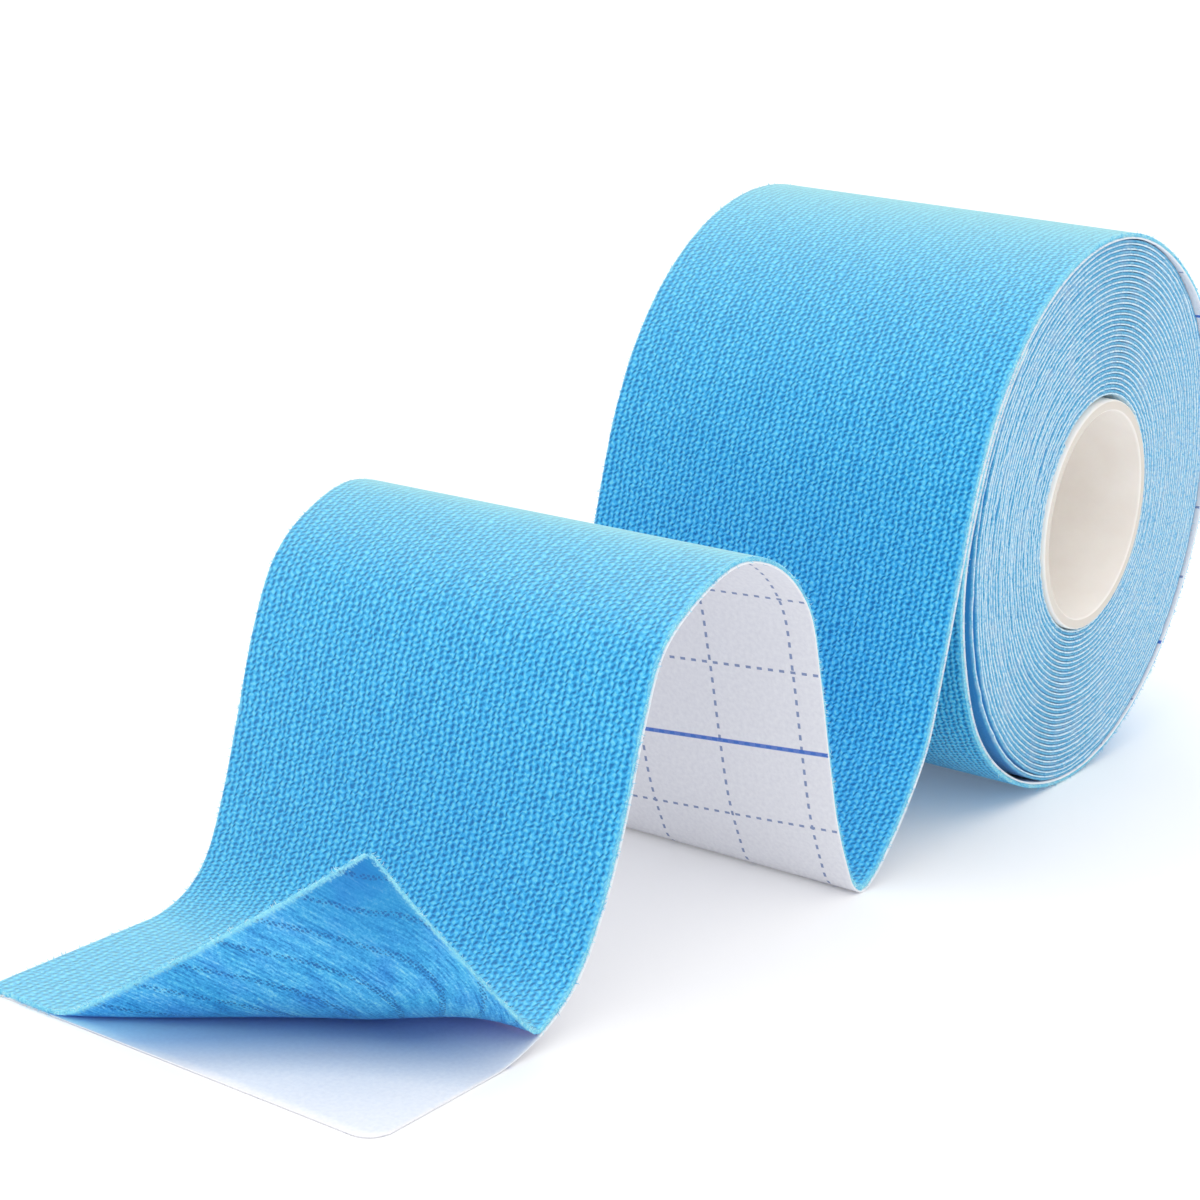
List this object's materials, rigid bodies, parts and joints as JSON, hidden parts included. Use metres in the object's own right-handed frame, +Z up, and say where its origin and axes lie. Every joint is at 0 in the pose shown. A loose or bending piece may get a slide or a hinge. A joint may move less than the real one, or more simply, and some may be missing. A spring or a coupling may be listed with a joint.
{
  "type": "kinesiology tape roll",
  "caption": "Roll of woven elastic sports tape on release paper, standing on its rim, with its loose end pulled out over a hump and one corner peeled up.",
  "frame": {"origin": "middle of the footprint, on the surface that the roll and its loose end rest on", "axes": "+X from the cut end of the loose tape towards the roll, +Y along the roll's axis, away from the side face that shows, +Z up"},
  "size_m": [0.1747, 0.0538, 0.0703],
  "materials": {
    "core": "plain ivory tube, matte",
    "wound_cloth": "side of wound woven cotton and white paper in fine rings, matte",
    "tape_cloth": "light blue elastic plain weave, matte",
    "release_paper": "white siliconed paper, soft sheen on the face, printed grid on the back"
  },
  "bodies": {
    "root": {"core_tube": "core", "wound_tape": "wound_cloth", "loose_tape": "tape_cloth", "release_paper": "release_paper"}
  },
  "joints": []
}
